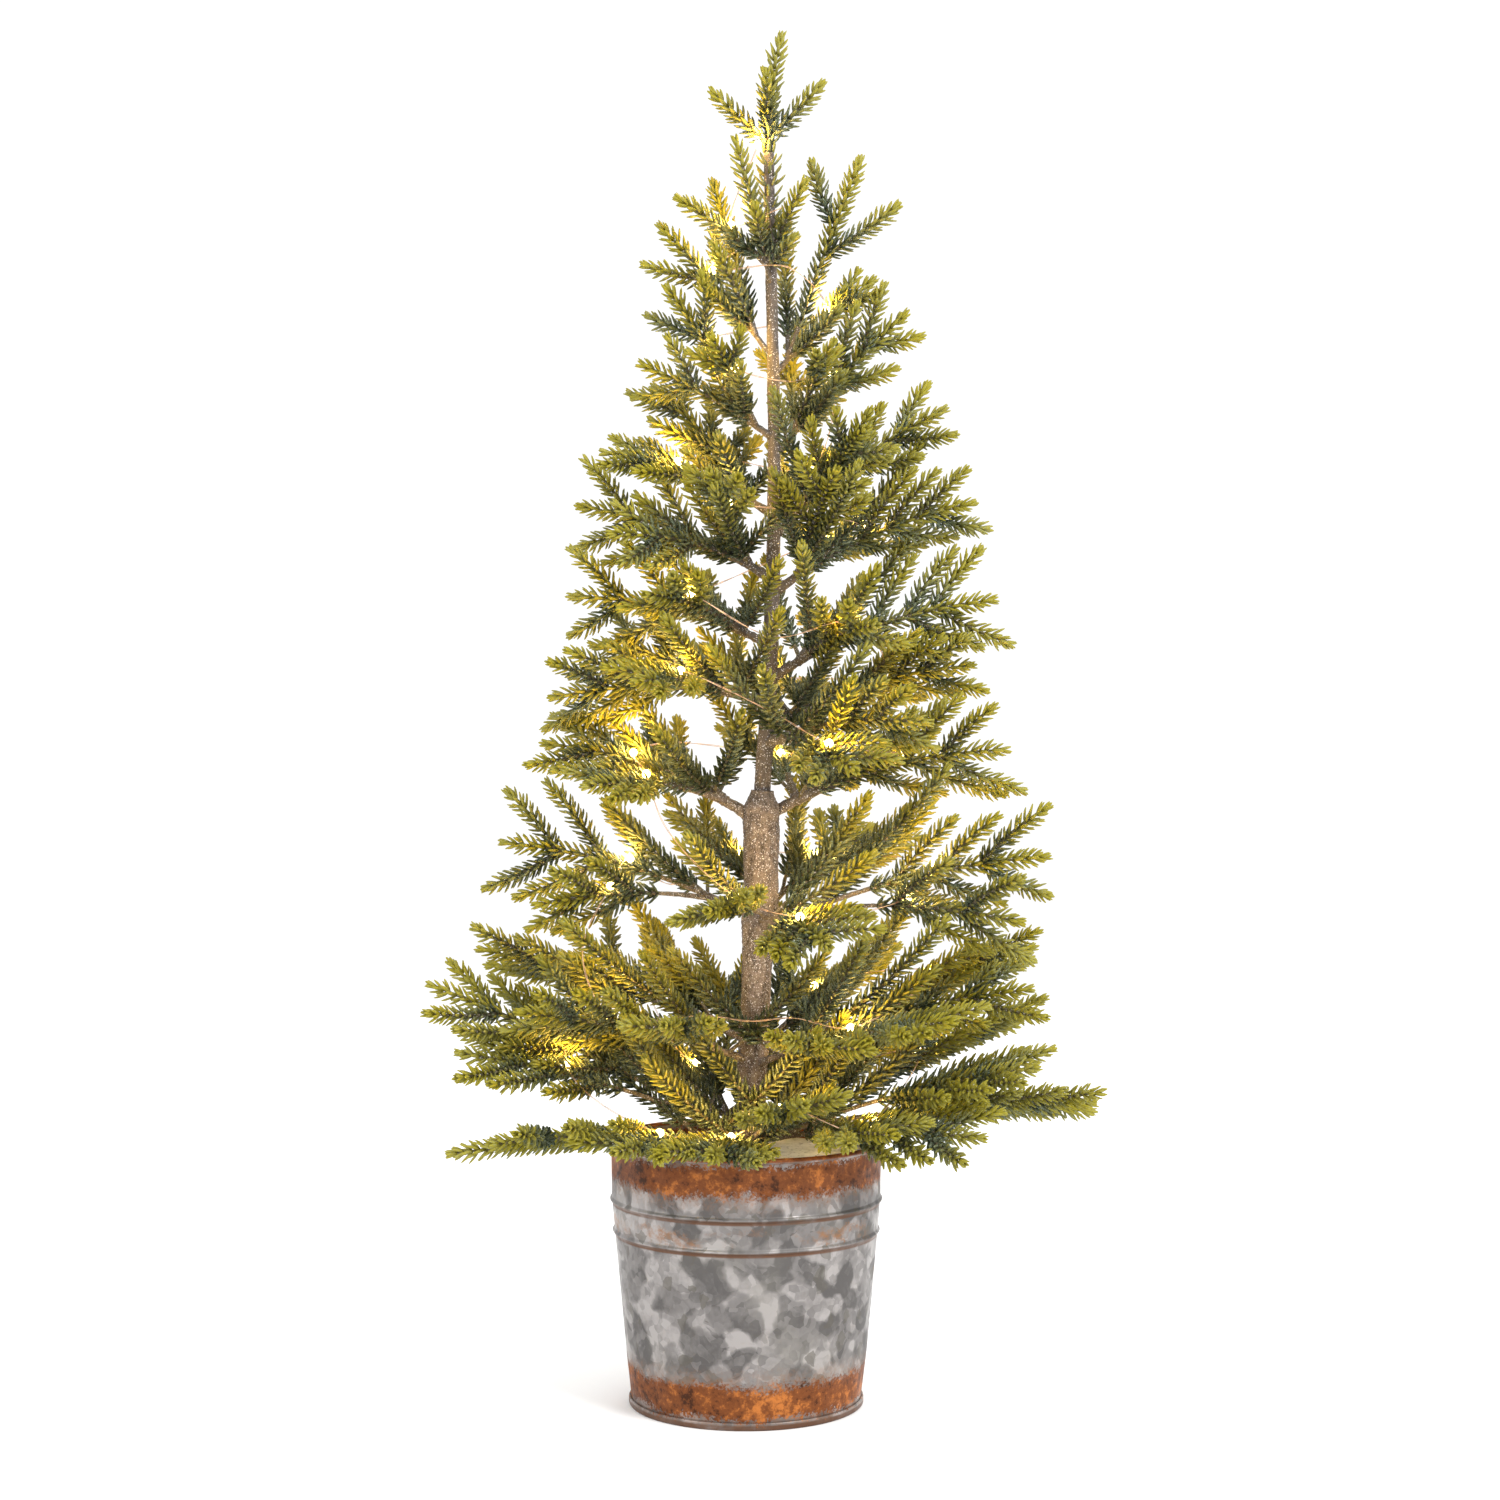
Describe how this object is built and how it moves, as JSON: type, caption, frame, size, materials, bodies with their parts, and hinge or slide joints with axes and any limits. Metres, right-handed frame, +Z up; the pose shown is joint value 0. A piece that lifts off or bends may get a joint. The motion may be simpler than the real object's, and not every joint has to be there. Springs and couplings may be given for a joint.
{
  "type": "artificial tabletop tree",
  "caption": "Slim artificial spruce with bendable wire branches, frosted needles and a copper-wire light string, set in cement in a rusted galvanised bucket.",
  "frame": {"origin": "middle of the bucket's underside, on the surface that the tree stands on", "axes": "+Z up along the trunk, -Y towards the front of the tree, +X to its right when seen from the front"},
  "size_m": [0.3405, 0.2416, 0.71],
  "materials": {
    "bucket_zinc": "satin",
    "steel_wire": "satin",
    "foam": "matte",
    "cement": "matte",
    "bark": "matte",
    "needles": "satin",
    "copper_wire": "satin",
    "battery_plastic": "satin",
    "cell_sleeve": "satin",
    "contact_steel": "satin"
  },
  "bodies": {
    "tree": {"bucket_shell": "bucket_zinc", "rim_wire": "steel_wire", "bucket_base": "bucket_zinc", "foam_block": "foam", "cement_fill": "cement", "trunk_core_rod": "steel_wire", "trunk_post": "bark", "leader_stem": "bark", "battery_case": "battery_plastic", "battery_cell_1": "cell_sleeve", "battery_cell_2": "cell_sleeve", "battery_cell_3": "cell_sleeve", "contact_strip_left": "contact_steel", "contact_strip_right": "contact_steel", "switch_body": "contact_steel", "led_string": "copper_wire", "crown_spray": "needles"},
    "battery_cover_slide": {"battery_cover": "battery_plastic"},
    "switch": {"switch_knob": "battery_plastic"},
    "branch_01_body": {"branch_01": "needles"},
    "branch_02_body": {"branch_02": "needles"},
    "branch_03_body": {"branch_03": "needles"},
    "branch_04_body": {"branch_04": "needles"},
    "branch_05_body": {"branch_05": "needles"},
    "branch_06_body": {"branch_06": "needles"},
    "branch_07_body": {"branch_07": "needles"},
    "branch_08_body": {"branch_08": "needles"},
    "branch_09_body": {"branch_09": "needles"},
    "branch_10_body": {"branch_10": "needles"},
    "branch_11_body": {"branch_11": "needles"},
    "branch_12_body": {"branch_12": "needles"},
    "branch_13_body": {"branch_13": "needles"},
    "branch_14_body": {"branch_14": "needles"},
    "branch_15_body": {"branch_15": "needles"},
    "branch_16_body": {"branch_16": "needles"},
    "branch_17_body": {"branch_17": "needles"},
    "branch_18_body": {"branch_18": "needles"},
    "branch_19_body": {"branch_19": "needles"},
    "branch_20_body": {"branch_20": "needles"},
    "branch_21_body": {"branch_21": "needles"},
    "branch_22_body": {"branch_22": "needles"},
    "branch_23_body": {"branch_23": "needles"},
    "branch_24_body": {"branch_24": "needles"},
    "branch_25_body": {"branch_25": "needles"},
    "branch_26_body": {"branch_26": "needles"},
    "branch_27_body": {"branch_27": "needles"},
    "branch_28_body": {"branch_28": "needles"},
    "branch_29_body": {"branch_29": "needles"},
    "branch_30_body": {"branch_30": "needles"},
    "branch_31_body": {"branch_31": "needles"},
    "branch_32_body": {"branch_32": "needles"}
  },
  "joints": [
    {"name": "battery_cover_travel", "type": "slide", "parent": "tree", "child": "battery_cover_slide", "axis": [0, 0, -1], "range_m": [0, 0.052]},
    {"name": "switch_travel", "type": "slide", "parent": "tree", "child": "switch", "axis": [0, 0, 1], "range_m": [0, 0.0046]},
    {"name": "branch_01_bend", "type": "hinge", "parent": "tree", "child": "branch_01_body", "pos_m": [-0.00621, -0.00148, 0.139], "axis": [-0.1736, 0.9848, 0], "range_deg": [-10, 10], "deforming": ["led_string"]},
    {"name": "branch_02_bend", "type": "hinge", "parent": "tree", "child": "branch_02_body", "pos_m": [-0.0037, -0.00622, 0.136], "axis": [-0.7314, 0.682, 0], "range_deg": [-4, 10], "deforming": ["led_string"]},
    {"name": "branch_03_bend", "type": "hinge", "parent": "tree", "child": "branch_03_body", "pos_m": [0.00237, -0.0085, 0.135], "axis": [-0.9994, -0.0349, 0], "range_deg": [-2, 10], "deforming": ["led_string"]},
    {"name": "branch_04_bend", "type": "hinge", "parent": "tree", "child": "branch_04_body", "pos_m": [0.00843, -0.00569, 0.137], "axis": [-0.6691, -0.7431, 0], "range_deg": [-5.5, 10], "deforming": ["led_string"]},
    {"name": "branch_05_bend", "type": "hinge", "parent": "tree", "child": "branch_05_body", "pos_m": [0.01067, -0.00059, 0.14], "axis": [-0.0698, -0.9976, 0], "range_deg": [-10, 10], "deforming": ["led_string"]},
    {"name": "branch_06_bend", "type": "hinge", "parent": "tree", "child": "branch_06_body", "pos_m": [0.00587, 0.00764, 0.138], "axis": [0.8988, -0.4384, 0], "range_deg": [-10, 10], "deforming": ["led_string"]},
    {"name": "branch_07_bend", "type": "hinge", "parent": "tree", "child": "branch_07_body", "pos_m": [-0.00318, 0.00661, 0.139], "axis": [0.7771, 0.6293, 0], "range_deg": [-10, 10], "deforming": ["led_string"]},
    {"name": "branch_08_bend", "type": "hinge", "parent": "tree", "child": "branch_08_body", "pos_m": [-0.00402, 0.00291, 0.19], "axis": [0.342, 0.9397, 0], "range_deg": [-10, 10], "deforming": ["led_string"]},
    {"name": "branch_09_bend", "type": "hinge", "parent": "tree", "child": "branch_09_body", "pos_m": [-0.00235, -0.00611, 0.18], "axis": [-0.7193, 0.6947, 0], "range_deg": [-10, 10], "deforming": ["led_string"]},
    {"name": "branch_10_bend", "type": "hinge", "parent": "tree", "child": "branch_10_body", "pos_m": [0.00859, -0.00679, 0.178], "axis": [-0.7986, -0.6018, 0], "range_deg": [-10, 10], "deforming": ["led_string"]},
    {"name": "branch_11_bend", "type": "hinge", "parent": "tree", "child": "branch_11_body", "pos_m": [0.01221, 0.0003, 0.184], "axis": [0.0349, -0.9994, 0], "range_deg": [-10, 10], "deforming": ["led_string"]},
    {"name": "branch_12_bend", "type": "hinge", "parent": "tree", "child": "branch_12_body", "pos_m": [0.00465, 0.00842, 0.178], "axis": [0.9903, -0.1392, 0], "range_deg": [-10, 10], "deforming": ["led_string"]},
    {"name": "branch_13_bend", "type": "hinge", "parent": "tree", "child": "branch_13_body", "pos_m": [-0.00243, -0.00129, 0.256], "axis": [-0.1305, 0.9914, 0], "range_deg": [-10, 10], "deforming": ["led_string"]},
    {"name": "branch_14_bend", "type": "hinge", "parent": "tree", "child": "branch_14_body", "pos_m": [0.00795, -0.00988, 0.253], "axis": [-0.9976, -0.0698, 0], "range_deg": [-10, 10], "deforming": ["led_string"]},
    {"name": "branch_15_bend", "type": "hinge", "parent": "tree", "child": "branch_15_body", "pos_m": [0.01686, -0.00163, 0.25], "axis": [-0.165, -0.9863, 0], "range_deg": [-10, 10], "deforming": ["led_string"]},
    {"name": "branch_16_bend", "type": "hinge", "parent": "tree", "child": "branch_16_body", "pos_m": [0.00919, 0.00972, 0.254], "axis": [0.9816, -0.1908, 0], "range_deg": [-10, 10], "deforming": ["led_string"]},
    {"name": "branch_17_bend", "type": "hinge", "parent": "tree", "child": "branch_17_body", "pos_m": [-0.00192, 0.00042, 0.308], "axis": [0.0465, 0.9989, 0], "range_deg": [-10, 10], "deforming": ["led_string"]},
    {"name": "branch_18_bend", "type": "hinge", "parent": "tree", "child": "branch_18_body", "pos_m": [0.01559, 0.00628, 0.308], "axis": [0.6383, -0.7698, 0], "range_deg": [-10, 10], "deforming": ["led_string"]},
    {"name": "branch_19_bend", "type": "hinge", "parent": "tree", "child": "branch_19_body", "pos_m": [0.01386, -0.00291, 0.345], "axis": [-0.6756, -0.7373, 0], "range_deg": [-10, 10], "deforming": ["led_string"]},
    {"name": "branch_20_bend", "type": "hinge", "parent": "tree", "child": "branch_20_body", "pos_m": [0.01369, 0.00447, 0.352], "axis": [0.8021, -0.5972, 0], "range_deg": [-10, 10], "deforming": ["led_string"]},
    {"name": "branch_21_bend", "type": "hinge", "parent": "tree", "child": "branch_21_body", "pos_m": [0.00684, -0.00018, 0.366], "axis": [-0.1622, 0.9868, 0], "range_deg": [-10, 10], "deforming": ["led_string"]},
    {"name": "branch_22_bend", "type": "hinge", "parent": "tree", "child": "branch_22_body", "pos_m": [0.017, 0.00067, 0.38], "axis": [0.0349, -0.9994, 0], "range_deg": [-10, 10], "deforming": ["led_string"]},
    {"name": "branch_23_bend", "type": "hinge", "parent": "tree", "child": "branch_23_body", "pos_m": [0.00822, 0.0004, 0.397], "axis": [0.0233, 0.9997, 0], "range_deg": [-10, 10], "deforming": ["led_string"]},
    {"name": "branch_24_bend", "type": "hinge", "parent": "tree", "child": "branch_24_body", "pos_m": [0.01826, -0.00021, 0.425], "axis": [-0.0349, -0.9994, 0], "range_deg": [-10, 10], "deforming": ["led_string"]},
    {"name": "branch_25_bend", "type": "hinge", "parent": "tree", "child": "branch_25_body", "pos_m": [0.01008, -0.00246, 0.431], "axis": [-0.52, 0.8542, 0], "range_deg": [-10, 10], "deforming": ["led_string"]},
    {"name": "branch_26_bend", "type": "hinge", "parent": "tree", "child": "branch_26_body", "pos_m": [0.01885, -0.00041, 0.455], "axis": [0.0058, -1, 0], "range_deg": [-10, 10], "deforming": ["led_string"]},
    {"name": "branch_27_bend", "type": "hinge", "parent": "tree", "child": "branch_27_body", "pos_m": [0.01099, 0.0017, 0.465], "axis": [0.52, 0.8542, 0], "range_deg": [-10, 10], "deforming": ["led_string"]},
    {"name": "branch_28_bend", "type": "hinge", "parent": "tree", "child": "branch_28_body", "pos_m": [0.01883, 0.00007, 0.498], "axis": [0.1392, -0.9903, 0], "range_deg": [-10, 10], "deforming": ["led_string"]},
    {"name": "branch_29_bend", "type": "hinge", "parent": "tree", "child": "branch_29_body", "pos_m": [0.01098, -0.00218, 0.505], "axis": [-0.4279, 0.9038, 0], "range_deg": [-10, 10], "deforming": ["led_string"]},
    {"name": "branch_30_bend", "type": "hinge", "parent": "tree", "child": "branch_30_body", "pos_m": [0.01767, 0.00151, 0.54], "axis": [0.3961, -0.9182, 0], "range_deg": [-10, 10], "deforming": ["led_string"]},
    {"name": "branch_31_bend", "type": "hinge", "parent": "tree", "child": "branch_31_body", "pos_m": [0.01006, 0.00006, 0.55], "axis": [0.0116, 0.9999, 0], "range_deg": [-10, 10], "deforming": ["led_string"]},
    {"name": "branch_32_bend", "type": "hinge", "parent": "tree", "child": "branch_32_body", "pos_m": [0.01221, -0.00353, 0.586], "axis": [-0.9689, 0.2476, 0], "range_deg": [-10, 10], "deforming": ["led_string"]}
  ]
}
